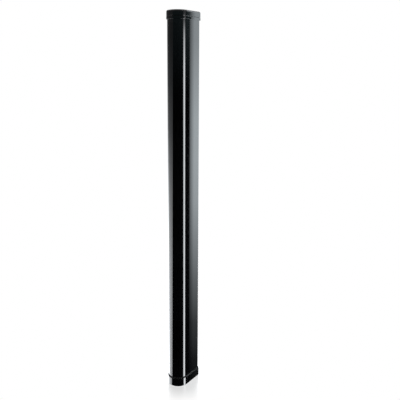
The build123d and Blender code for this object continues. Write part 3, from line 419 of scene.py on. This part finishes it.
# =====================================================================================
# Perforated front grille
# =====================================================================================
PITCH = 2.4 * MM
HOLE_RADIUS = 0.5 * MM
HOLE_SIDES = 8
ROW = PITCH * math.sqrt(3) / 2
HOLES_ACROSS = 15
ROWS_PER_BLOCK = 8
PLAIN_FOOT = 16 * MM
PLAIN_TOP = 14 * MM
FIRST_ROW_Z = grille_low.z + PLAIN_FOOT
LAST_ROW_Z = grille_high.z - PLAIN_TOP
SHEET = 1.0 * MM
LIP_REACH = 20.6 * MM
SAME_PLACE = 0.0001 * MM
HALF_FIELD = HOLES_ACROSS * PITCH / 2
HALF_SHEET = BODY_RADIUS * math.pi / 2


class SheetMesh:
    """Sheet laid out flat as (u across, v up) and wrapped round the nose, with two skins."""

    def __init__(self):
        self.vertices = []
        self.index = {}
        self.faces = []
        self.skins = []

    def plan(self, u, depth):
        """Plan position; the inner skin stops where the folded lip starts."""
        angle = u / BODY_RADIUS
        r = BODY_RADIUS - depth
        x, y = r * math.sin(angle), NOSE_Y - r * math.cos(angle)
        if depth and y > NOSE_Y - SHEET:
            y = NOSE_Y - SHEET
            x = math.copysign(math.sqrt(r * r - SHEET * SHEET), x)
        return x, y

    def vertex(self, x, y, z):
        """Index of the vertex at this place, made once."""
        key = (round(x / SAME_PLACE), round(y / SAME_PLACE), round(z / SAME_PLACE))
        if key not in self.index:
            self.index[key] = len(self.vertices)
            self.vertices.append((x, y, z))
        return self.index[key]

    def point(self, u, v, depth):
        """Index of the vertex at a flat place, this deep in the sheet."""
        return self.vertex(*self.plan(u, depth), v)

    def face(self, corners, skin=0):
        """One face; skin is 1 outside, -1 inside and 0 on an edge."""
        self.faces.append(corners)
        self.skins.append(skin)

    def panel(self, corners):
        """The same polygon on the outer skin and, turned over, on the inner skin."""
        self.face([self.point(u, v, 0.0) for u, v in corners], 1)
        self.face([self.point(u, v, SHEET) for u, v in reversed(corners)], -1)

    def block(self, u0, u1, v0, v1):
        """Plain rectangle on both skins."""
        self.panel([(u0, v0), (u1, v0), (u1, v1), (u0, v1)])

    def cell(self, u, v):
        """A hole in its brick-shaped cell, whose long sides have a middle vertex."""
        w, h = PITCH / 2, ROW / 2
        hole = []
        for i in range(HOLE_SIDES):
            a = 2 * math.pi * i / HOLE_SIDES
            hole.append((u + HOLE_RADIUS * math.cos(a), v + HOLE_RADIUS * math.sin(a)))
        self.panel([(u + w, v - h), (u + w, v + h), hole[1], hole[0], hole[7]])
        self.panel([(u + w, v + h), (u, v + h), hole[2], hole[1]])
        self.panel([(u, v + h), (u - w, v + h), hole[3], hole[2]])
        self.panel([(u - w, v + h), (u - w, v - h), hole[5], hole[4], hole[3]])
        self.panel([(u - w, v - h), (u, v - h), hole[6], hole[5]])
        self.panel([(u, v - h), (u + w, v - h), hole[7], hole[6]])
        for (ua, va), (ub, vb) in zip(hole, hole[1:] + hole[:1]):
            outer_a, outer_b = self.point(ua, va, 0.0), self.point(ub, vb, 0.0)
            self.face([outer_a, outer_b, self.point(ub, vb, SHEET), self.point(ua, va, SHEET)])

    def lip(self, side, v0, v1):
        """Folded lip along one straight edge, between two heights."""
        low, high = [], []
        for v, ring in ((v0, low), (v1, high)):
            ring.append(self.point(side * HALF_SHEET, v, 0.0))
            ring.append(self.vertex(side * LIP_REACH, NOSE_Y, v))
            ring.append(self.vertex(side * LIP_REACH, NOSE_Y - SHEET, v))
            ring.append(self.point(side * HALF_SHEET, v, SHEET))
        for i in range(3):
            quad = [high[i], low[i], low[i + 1], high[i + 1]]
            self.face(quad if side > 0 else quad[::-1])
        return low, high

    def close_end(self, us, v, rings, top):
        """Flat edge of the sheet and of its lips at the bottom or the top."""
        for u0, u1 in zip(us, us[1:]):
            quad = [self.point(u1, v, 0.0), self.point(u0, v, 0.0)]
            quad += [self.point(u0, v, SHEET), self.point(u1, v, SHEET)]
            self.face(quad[::-1] if top else quad)
        for side, ring in rings:
            quad = [ring[0], ring[3], ring[2], ring[1]]
            self.face(quad if (side > 0) != top else quad[::-1])

    def build(self, name, material):
        """Mesh object whose skins carry exact radial normals."""
        mesh = bpy.data.meshes.new(name)
        mesh.from_pydata(self.vertices, [], self.faces)
        mesh.update()
        skins = np.array(self.skins)
        mesh.polygons.foreach_set("use_smooth", skins != 0)
        loop_vertices = np.empty(len(mesh.loops), dtype=np.int64)
        mesh.loops.foreach_get("vertex_index", loop_vertices)
        places = np.array(self.vertices)[loop_vertices]
        loop_skins = np.repeat(skins, [len(f) for f in self.faces])
        radial = np.zeros_like(places)
        radial[:, 0] = places[:, 0]
        radial[:, 1] = places[:, 1] - NOSE_Y
        radial /= np.linalg.norm(radial, axis=1)[:, None]
        mesh.normals_split_custom_set((radial * loop_skins[:, None]).tolist())
        obj = bpy.data.objects.new(name, mesh)
        bpy.context.scene.collection.objects.link(obj)
        obj.data.materials.append(material)
        return obj


def grille_section(name, z_low, z_high, first_row, row_count):
    """One length of the grille: staggered rows of holes, solid margins round them, lips behind."""
    sheet = SheetMesh()
    field_low = FIRST_ROW_Z + first_row * ROW
    field_high = field_low + row_count * ROW
    for row in range(row_count):
        v = field_low + (row + 0.5) * ROW
        if (first_row + row) % 2:
            sheet.block(-HALF_FIELD, -HALF_FIELD + PITCH / 2, v - ROW / 2, v + ROW / 2)
            sheet.block(HALF_FIELD - PITCH / 2, HALF_FIELD, v - ROW / 2, v + ROW / 2)
            centres = [-HALF_FIELD + (i + 1) * PITCH for i in range(HOLES_ACROSS - 1)]
        else:
            centres = [-HALF_FIELD + (i + 0.5) * PITCH for i in range(HOLES_ACROSS)]
        for u in centres:
            sheet.cell(u, v)

    step = PITCH / 2
    steps = int((HALF_SHEET - SHEET - HALF_FIELD) / step)
    margin = [HALF_FIELD + i * step for i in range(steps)] + [HALF_SHEET]
    field = [-HALF_FIELD + i * step for i in range(2 * HOLES_ACROSS + 1)]
    all_us = [-u for u in reversed(margin[1:])] + field + margin[1:]
    block_rows = list(range(0, row_count, ROWS_PER_BLOCK)) + [row_count]
    heights = [field_low + r * ROW for r in block_rows]
    levels = ([z_low] if z_low < field_low else []) + heights + ([z_high] if z_high > field_high else [])

    for r0, r1 in zip(block_rows, block_rows[1:]):
        rungs = [field_low + r * ROW for r in range(r0, r1 + 1)]
        beside = margin[1]
        right = [(beside, rungs[0]), (beside, rungs[-1])] + [(HALF_FIELD, v) for v in reversed(rungs)]
        left = [(-HALF_FIELD, v) for v in rungs] + [(-beside, rungs[-1]), (-beside, rungs[0])]
        sheet.panel(right)
        sheet.panel(left)
        for u0, u1 in zip(margin[1:], margin[2:]):
            sheet.block(u0, u1, rungs[0], rungs[-1])
            sheet.block(-u1, -u0, rungs[0], rungs[-1])
    for u0, u1 in zip(all_us, all_us[1:]):
        if z_low < field_low:
            sheet.block(u0, u1, z_low, field_low)
        if z_high > field_high:
            sheet.block(u0, u1, field_high, z_high)
    ends = {}
    for side in (-1, 1):
        for v0, v1 in zip(levels, levels[1:]):
            low, high = sheet.lip(side, v0, v1)
            ends.setdefault(("low", side), low)
            ends[("high", side)] = high
    sheet.close_end(all_us, levels[0], [(s, ends[("low", s)]) for s in (-1, 1)], top=False)
    sheet.close_end(all_us, levels[-1], [(s, ends[("high", s)]) for s in (-1, 1)], top=True)
    return sheet.build(name, grille_lacquer)


row_total = int((LAST_ROW_Z - FIRST_ROW_Z) / ROW)
row_split = row_total // 2
split_z = FIRST_ROW_Z + row_split * ROW
lower_grille = grille_section("front_grille_lower", grille_low.z, split_z, 0, row_split)
upper_grille = grille_section("front_grille_upper", split_z, grille_high.z, row_split, row_total - row_split)
for section in (lower_grille, upper_grille):
    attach(section, "column")
    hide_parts("front_grille")


# =====================================================================================
# Small marks: the pointer's white filling, and the scale round the knob
# =====================================================================================
BAR_END_STEPS = 6
POINTER_WIDTH = 1.1 * MM
POINTER_START = 2.7 * MM
POINTER_RIM_GAP = 0.9 * MM
POINTER_DEPTH = 0.75 * MM
POINTER_SUNK = 0.12 * MM
TAP_COUNT = 6
TICK_WIDTH = 0.7 * MM
TICK_GAP = 1.4 * MM
TICK_LENGTH = 2.0 * MM
TICK_DEPTH = 0.05 * MM
TICK_PROUD = 0.1 * MM


def rounded_bar(start, end, width, y_low, y_high):
    """Closed bar with round ends in the X-Z plane, from one point to another, between two y values."""
    along = (end - start).normalized()
    across = Vector((-along.y, along.x))
    outline = []
    for centre, base in ((end, -math.pi / 2), (start, math.pi / 2)):
        for i in range(BAR_END_STEPS + 1):
            a = base + math.pi * i / BAR_END_STEPS
            outline.append(centre + (along * math.cos(a) + across * math.sin(a)) * width / 2)
    vertices = [(p.x, y, p.y) for y in (y_low, y_high) for p in outline]
    count = len(outline)
    faces = [tuple(range(count)), tuple(range(2 * count - 1, count - 1, -1))]
    for i in range(count):
        j = (i + 1) % count
        faces.append((j, i, count + i, count + j))
    return vertices, faces


def joined_bars(name, bars, material):
    """One object made of several bars."""
    vertices, faces = [], []
    for bar_vertices, bar_faces in bars:
        base = len(vertices)
        vertices += bar_vertices
        faces += [tuple(base + i for i in face) for face in bar_faces]
    return new_object(name, vertices, faces, material, smooth=False)


knob_centre = Vector(((knob_low.x + knob_high.x) / 2, (knob_low.z + knob_high.z) / 2))
knob_radius = (knob_high.x - knob_low.x) / 2
up = Vector((0.0, 1.0))
pointer_bar = rounded_bar(
    knob_centre + up * POINTER_START, knob_centre + up * (knob_radius - POINTER_RIM_GAP), POINTER_WIDTH,
    knob_high.y - POINTER_DEPTH, knob_high.y - POINTER_SUNK,
)
pointer = joined_bars("tap_knob_pointer", [pointer_bar], white_fill)
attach(pointer, "tap_selector")

tap_joint = next(j for j in frame["record"]["behaviour"]["joints"] if j["name"] == "tap_turn")
first_stop, last_stop = (math.radians(v) for v in tap_joint["range_deg"])
cup_floor_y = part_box("tap_switch_nut")[0].y
ticks = []
for i in range(TAP_COUNT):
    a = first_stop + (last_stop - first_stop) * i / (TAP_COUNT - 1)
    out = Vector((-math.sin(a), math.cos(a)))
    near = knob_centre + out * (knob_radius + TICK_GAP)
    far = near + out * TICK_LENGTH
    ticks.append(rounded_bar(near, far, TICK_WIDTH, cup_floor_y - TICK_DEPTH, cup_floor_y + TICK_PROUD))
scale_ticks = joined_bars("tap_scale_ticks", ticks, white_fill)
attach(scale_ticks, "column")



# =====================================================================================
# Floor, backdrop and studio light
# =====================================================================================
CAMERA_PLACE = Vector((0.849, -1.352, 0.846))
CAMERA_AZIMUTH = math.radians(31.98)
CAMERA_TILT = math.radians(11.0)
CAMERA_SHIFT_X = 0.042
CAMERA_SHIFT_Y = -0.019
CAMERA_LENS = 55.15
CAMERA_SENSOR = 36.0
CAMERA_NEAREST = 0.01
CAMERA_FURTHEST = 50.0

WHITE = (1.0, 1.0, 1.0)
PALE = (0.97, 1.0, 1.03)
COOL = (0.91, 1.0, 1.05)

# Cards of light. Starts and steps round the column are in degrees of azimuth, and stops are
# (height, level) pairs from a card's foot to its top.
CARD_DISTANCE = 0.8
EDGE_LEVEL = 0.3  # how bright a softened edge starts

# Broad card round the left side, for the soft band on the nose. Its top starts nearer the front
# than its foot.
LEFT_POINTS = 25
LEFT_FOOT_START = -56.0
LEFT_FOOT_STEP = -5.16
LEFT_TOP_START = -12.0
LEFT_TOP_STEP = -7.0
LEFT_STRENGTH = 6.75
LEFT_STOPS = [
    (-1.2, 0.86), (0.0, 0.84), (0.17, 0.75), (0.31, 0.57), (0.48, 0.34),
    (0.64, 0.15), (0.81, 0.07), (0.97, 0.035), (1.4, 0.02),
]

# Narrow card on the right, for the bright upright line.
STRIP_POINTS = 6
STRIP_START = 98.6
STRIP_STEP = 4.8
STRIP_STRENGTH = 12.3
STRIP_STOPS = [
    (-1.2, 1.0), (0.87, 1.0), (0.97, 0.65), (1.0, 0.46),
    (1.025, 0.24), (1.04, 0.13), (1.06, 0.05), (1.3, 0.03),
]

# Faint skirt beside the strip, which keeps the flat side from going flat black when seen square on.
SKIRT_START = 86.5
SKIRT_END = 98.4
SKIRT_STRENGTH = 0.55
SKIRT_STOPS = [(-1.2, 0.45), (0.2, 0.55), (0.75, 0.85), (1.1, 1.0), (1.3, 0.9)]

# Straight card behind the column, for the light on the flat side.
PANEL_POINTS = 8
PANEL_START = Vector((0.439, 0.675))
PANEL_WAY = Vector((-0.854, 0.521))
PANEL_STEP = 0.06
PANEL_EDGE = 0.017
PANEL_STRENGTH = 4.05
PANEL_STOPS = [
    (-0.45, 0.008), (-0.32, 0.02), (-0.16, 0.085), (0.01, 0.28), (0.18, 0.56), (0.35, 0.86),
    (0.51, 0.98), (0.67, 1.0), (0.82, 0.86), (0.97, 0.7), (1.4, 0.72),
]

# The sky's colours by the rise of a ray: near the horizon, then above it, where the sky is bright
# except on the camera's side.
LOW_SKY = [(-0.035, grey(0.0)), (0.1, (0.095, 0.14, 0.15))]
BRIGHT_SKY = LOW_SKY + [(0.26, grey(1.0)), (0.8, grey(1.0)), (0.93, grey(0.05))]
DIM_SKY = LOW_SKY + [(0.26, grey(0.8)), (0.38, grey(0.7)), (0.55, grey(0.04)), (0.9, grey(0.02))]
DIM_SIDE_START = 0.3
DIM_SIDE_FULL = 0.7

FLOOR_RADIUS = 3.0
FLOOR_SIDES = 60
FLOOR_DROP = 0.2 * MM
FLOOR_GLOSS = 0.33
FLOOR_ROUGHNESS = 0.3
FLOOR_GLOSS_INNER = 0.045
FLOOR_GLOSS_OUTER = 0.14

DOME_RADIUS = 9.0
DOME_RINGS = 9
DOME_SIDES = 40
DOME_LOWEST = -80.0
DOME_STEP = 20.0


def emission_material(name, stops, strength, colour):
    """Light that changes with height; stops are (height, level) pairs."""
    low, high = stops[0][0], stops[-1][0]
    material = bpy.data.materials.new(name)
    material.use_nodes = True
    tree = material.node_tree
    tree.nodes.clear()
    output = tree.nodes.new("ShaderNodeOutputMaterial")
    light = tree.nodes.new("ShaderNodeEmission")
    light.inputs["Color"].default_value = (*colour, 1)
    coords = tree.nodes.new("ShaderNodeTexCoord")
    split = tree.nodes.new("ShaderNodeSeparateXYZ")
    spread = tree.nodes.new("ShaderNodeMapRange")
    spread.inputs["From Min"].default_value = low
    spread.inputs["From Max"].default_value = high
    ramp = tree.nodes.new("ShaderNodeValToRGB")
    elements = ramp.color_ramp.elements
    for i, (height, level) in enumerate(stops):
        place = (height - low) / (high - low)
        element = elements[i] if i < 2 else elements.new(place)
        element.position = place
        element.color = (level, level, level, 1)
    scale = tree.nodes.new("ShaderNodeMath")
    scale.operation = "MULTIPLY"
    scale.inputs[1].default_value = strength
    tree.links.new(coords.outputs["Object"], split.inputs["Vector"])
    tree.links.new(split.outputs["Z"], spread.inputs["Value"])
    tree.links.new(spread.outputs["Result"], ramp.inputs["Fac"])
    tree.links.new(ramp.outputs["Color"], scale.inputs[0])
    tree.links.new(scale.outputs["Value"], light.inputs["Strength"])
    tree.links.new(light.outputs["Emission"], output.inputs["Surface"])
    return material


def soften_edge(tree, start, way, width):
    """Dims the light at the start of a card and lets it grow over a width along the card."""
    light = next(n for n in tree.nodes if n.type == "EMISSION")
    coords = next(n for n in tree.nodes if n.type == "TEX_COORD")
    along = tree.nodes.new("ShaderNodeVectorMath")
    along.operation = "DOT_PRODUCT"
    along.inputs[1].default_value = (way.x, way.y, 0.0)
    grow = tree.nodes.new("ShaderNodeMapRange")
    grow.inputs["From Min"].default_value = start.dot(way)
    grow.inputs["From Max"].default_value = start.dot(way) + width
    grow.inputs["To Min"].default_value = EDGE_LEVEL
    product = tree.nodes.new("ShaderNodeMath")
    product.operation = "MULTIPLY"
    tree.links.new(coords.outputs["Object"], along.inputs[0])
    tree.links.new(along.outputs["Value"], grow.inputs["Value"])
    tree.links.new(grow.outputs["Result"], product.inputs[0])
    tree.links.new(light.inputs["Strength"].links[0].from_socket, product.inputs[1])
    tree.links.new(product.outputs["Value"], light.inputs["Strength"])


def light_card(name, low_points, high_points, stops, strength, colour, edge=None):
    """Card between a row of plan points at its foot and one at its top, hidden from the camera."""
    low, high = stops[0][0], stops[-1][0]
    vertices = [(x, y, low) for x, y in low_points] + [(x, y, high) for x, y in high_points]
    count = len(low_points)
    faces = [(i, i + 1, count + i + 1, count + i) for i in range(count - 1)]
    material = emission_material(name, stops, strength, colour)
    if edge:
        soften_edge(material.node_tree, *edge)
    card = new_object(name, vertices, faces, material, smooth=False)
    card.visible_camera = False
    card.visible_shadow = False


def around(azimuth, distance):
    """Plan point at an azimuth in degrees (0 in front, 90 to the right) and a distance."""
    a = math.radians(azimuth)
    return (math.sin(a) * distance, -math.cos(a) * distance)


def arc(start, step, count):
    """Row of plan points round the column, the same angle apart."""
    return [around(start + step * i, CARD_DISTANCE) for i in range(count)]


left_foot = arc(LEFT_FOOT_START, LEFT_FOOT_STEP, LEFT_POINTS)
left_top = arc(LEFT_TOP_START, LEFT_TOP_STEP, LEFT_POINTS)
light_card("card_left", left_foot, left_top, LEFT_STOPS, LEFT_STRENGTH, PALE)

strip_points = arc(STRIP_START, STRIP_STEP, STRIP_POINTS)
light_card("card_strip", strip_points, strip_points, STRIP_STOPS, STRIP_STRENGTH, PALE)

skirt_start = Vector(around(SKIRT_START, CARD_DISTANCE))
skirt_end = Vector(around(SKIRT_END, CARD_DISTANCE))
skirt_edge = (skirt_start, (skirt_end - skirt_start).normalized(), (skirt_end - skirt_start).length)
skirt_points = [tuple(skirt_start), tuple(skirt_end)]
light_card("card_skirt", skirt_points, skirt_points, SKIRT_STOPS, SKIRT_STRENGTH, COOL, skirt_edge)

panel_points = [tuple(PANEL_START + PANEL_WAY * PANEL_STEP * i) for i in range(PANEL_POINTS)]
panel_edge = (PANEL_START, PANEL_WAY, PANEL_EDGE)
light_card("card_panel", panel_points, panel_points, PANEL_STOPS, PANEL_STRENGTH, COOL, panel_edge)


def sky_ramp(tree, height, stops):
    """Sky colour by the rise of a ray; stops are (rise, colour)."""
    ramp = tree.nodes.new("ShaderNodeValToRGB")
    elements = ramp.color_ramp.elements
    for i, (rise, colour) in enumerate(stops):
        place = 0.5 + rise / 2
        element = elements[i] if i < 2 else elements.new(place)
        element.position = place
        element.color = (*colour, 1)
    tree.links.new(height, ramp.inputs["Fac"])
    return ramp.outputs["Color"]


def build_world():
    """Soft sky: dark under the horizon and overhead, bright between them except on the camera's side."""
    world = bpy.data.worlds.new("studio")
    bpy.context.scene.world = world
    world.use_nodes = True
    tree = world.node_tree
    background = tree.nodes["Background"]
    coords = tree.nodes.new("ShaderNodeTexCoord")
    split = tree.nodes.new("ShaderNodeSeparateXYZ")
    centre = tree.nodes.new("ShaderNodeMapRange")
    centre.inputs["From Min"].default_value = -1.0
    tree.links.new(coords.outputs["Generated"], split.inputs["Vector"])
    tree.links.new(split.outputs["Z"], centre.inputs["Value"])
    height = centre.outputs["Result"]

    facing = tree.nodes.new("ShaderNodeVectorMath")
    facing.operation = "DOT_PRODUCT"
    facing.inputs[1].default_value = (*around(math.degrees(CAMERA_AZIMUTH), 1.0), 0.0)
    side = tree.nodes.new("ShaderNodeMapRange")
    side.interpolation_type = "SMOOTHSTEP"
    side.inputs["From Min"].default_value = DIM_SIDE_START
    side.inputs["From Max"].default_value = DIM_SIDE_FULL
    mix = tree.nodes.new("ShaderNodeMix")
    mix.data_type = "RGBA"
    tree.links.new(coords.outputs["Generated"], facing.inputs[0])
    tree.links.new(facing.outputs["Value"], side.inputs["Value"])
    tree.links.new(side.outputs["Result"], mix.inputs["Factor"])
    tree.links.new(sky_ramp(tree, height, BRIGHT_SKY), mix.inputs["A"])
    tree.links.new(sky_ramp(tree, height, DIM_SKY), mix.inputs["B"])
    tree.links.new(mix.outputs["Result"], background.inputs["Color"])


def build_floor():
    """White floor with a faint soft gloss that fades out away from the column."""
    material = bpy.data.materials.new("floor")
    material.use_nodes = True
    tree = material.node_tree
    tree.nodes.clear()
    output = tree.nodes.new("ShaderNodeOutputMaterial")
    white = tree.nodes.new("ShaderNodeEmission")
    gloss = tree.nodes.new("ShaderNodeBsdfGlossy")
    gloss.inputs["Roughness"].default_value = FLOOR_ROUGHNESS
    mix = tree.nodes.new("ShaderNodeMixShader")
    coords = tree.nodes.new("ShaderNodeTexCoord")
    length = tree.nodes.new("ShaderNodeVectorMath")
    length.operation = "LENGTH"
    fade = tree.nodes.new("ShaderNodeMapRange")
    fade.interpolation_type = "SMOOTHSTEP"
    fade.inputs["From Min"].default_value = FLOOR_GLOSS_INNER
    fade.inputs["From Max"].default_value = FLOOR_GLOSS_OUTER
    fade.inputs["To Min"].default_value = FLOOR_GLOSS
    fade.inputs["To Max"].default_value = 0.0
    tree.links.new(coords.outputs["Object"], length.inputs[0])
    tree.links.new(length.outputs["Value"], fade.inputs["Value"])
    tree.links.new(fade.outputs["Result"], mix.inputs["Fac"])
    tree.links.new(white.outputs["Emission"], mix.inputs[1])
    tree.links.new(gloss.outputs["BSDF"], mix.inputs[2])
    tree.links.new(mix.outputs["Shader"], output.inputs["Surface"])
    rim = [(*around(360 * i / FLOOR_SIDES, FLOOR_RADIUS), -FLOOR_DROP) for i in range(FLOOR_SIDES)]
    floor = new_object("floor", rim, [tuple(range(FLOOR_SIDES))], material, smooth=False)
    floor.visible_glossy = False


def build_backdrop():
    """White dome that only the camera sees."""
    vertices = []
    for j in range(DOME_RINGS):
        e = math.radians(DOME_LOWEST + DOME_STEP * j)
        for i in range(DOME_SIDES):
            x, y = around(360 * i / DOME_SIDES, DOME_RADIUS * math.cos(e))
            vertices.append((x, y, DOME_RADIUS * math.sin(e)))
    faces = []
    for j in range(DOME_RINGS - 1):
        base = j * DOME_SIDES
        for i in range(DOME_SIDES):
            k = (i + 1) % DOME_SIDES
            faces.append((base + i, base + k, base + DOME_SIDES + k, base + DOME_SIDES + i))
    last = (DOME_RINGS - 1) * DOME_SIDES
    faces.append(tuple(range(DOME_SIDES - 1, -1, -1)))
    faces.append(tuple(range(last, last + DOME_SIDES)))
    stops = [(-DOME_RADIUS, 1.0), (DOME_RADIUS, 1.0)]
    material = emission_material("backdrop", stops, 1.0, WHITE)
    dome = new_object("backdrop", vertices, faces, material)
    dome.visible_glossy = False
    dome.visible_diffuse = False
    dome.visible_transmission = False
    dome.visible_shadow = False


build_world()
build_floor()
build_backdrop()


# =====================================================================================
# Camera
# =====================================================================================
def build_camera():
    """The photo's viewpoint: place, tilt, shift and lens are fitted to the outline."""
    data = bpy.data.cameras.new("camera")
    camera = bpy.data.objects.new("camera", data)
    bpy.context.scene.collection.objects.link(camera)
    data.sensor_width = CAMERA_SENSOR
    data.lens = CAMERA_LENS
    data.shift_x = CAMERA_SHIFT_X
    data.shift_y = CAMERA_SHIFT_Y
    data.clip_start = CAMERA_NEAREST
    data.clip_end = CAMERA_FURTHEST
    camera.location = CAMERA_PLACE
    camera.rotation_euler = (math.pi / 2 - CAMERA_TILT, 0.0, CAMERA_AZIMUTH)
    bpy.context.scene.camera = camera


build_camera()
bpy.context.scene.view_settings.view_transform = "Standard"
